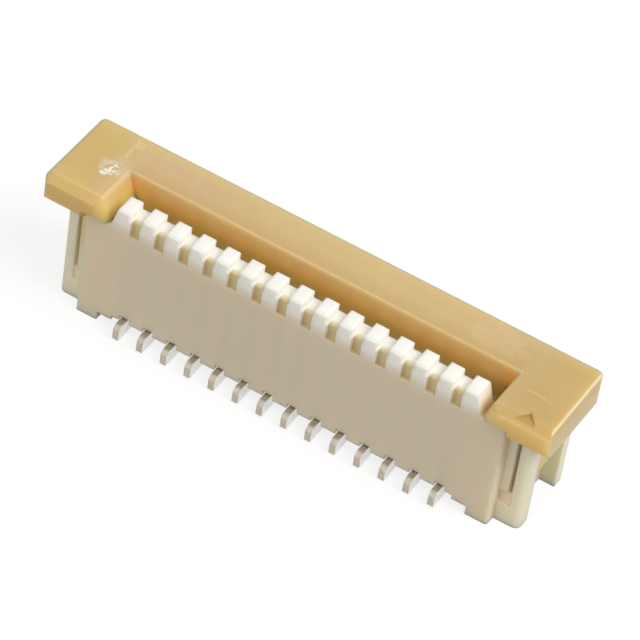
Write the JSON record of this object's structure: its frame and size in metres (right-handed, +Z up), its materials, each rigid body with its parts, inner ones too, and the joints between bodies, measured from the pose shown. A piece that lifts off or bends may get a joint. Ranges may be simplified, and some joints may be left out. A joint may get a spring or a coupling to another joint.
{
  "type": "flat cable connector",
  "caption": "Surface-mount top-entry connector that clamps a flat cable in one row of fork contacts with a slide lock.",
  "frame": {"origin": "on the board plane, under the middle of the connector's outline", "axes": "+X along the row of contacts towards the end with the triangle mark, +Y from the row of solder tails towards the back, +Z up from the board, the way the cable and the slider leave"},
  "size_m": [0.0204, 0.004, 0.0058],
  "materials": {
    "housing_plastic": "moulded off-white heat-proof plastic, fine matte",
    "slider_plastic": "moulded natural tan plastic, slightly translucent, satin",
    "tinned_contact": "tin-plated stamped bronze, satin"
  },
  "bodies": {
    "base": {"housing": "housing_plastic", "contact_01": "tinned_contact", "contact_02": "tinned_contact", "contact_03": "tinned_contact", "contact_04": "tinned_contact", "contact_05": "tinned_contact", "contact_06": "tinned_contact", "contact_07": "tinned_contact", "contact_08": "tinned_contact", "contact_09": "tinned_contact", "contact_10": "tinned_contact", "contact_11": "tinned_contact", "contact_12": "tinned_contact", "contact_13": "tinned_contact", "contact_14": "tinned_contact"},
    "lock": {"slider": "slider_plastic"}
  },
  "joints": [
    {"name": "lock_slide", "type": "slide", "parent": "base", "child": "lock", "axis": [0, 0, 1], "range_m": [0, 0.0012]}
  ]
}
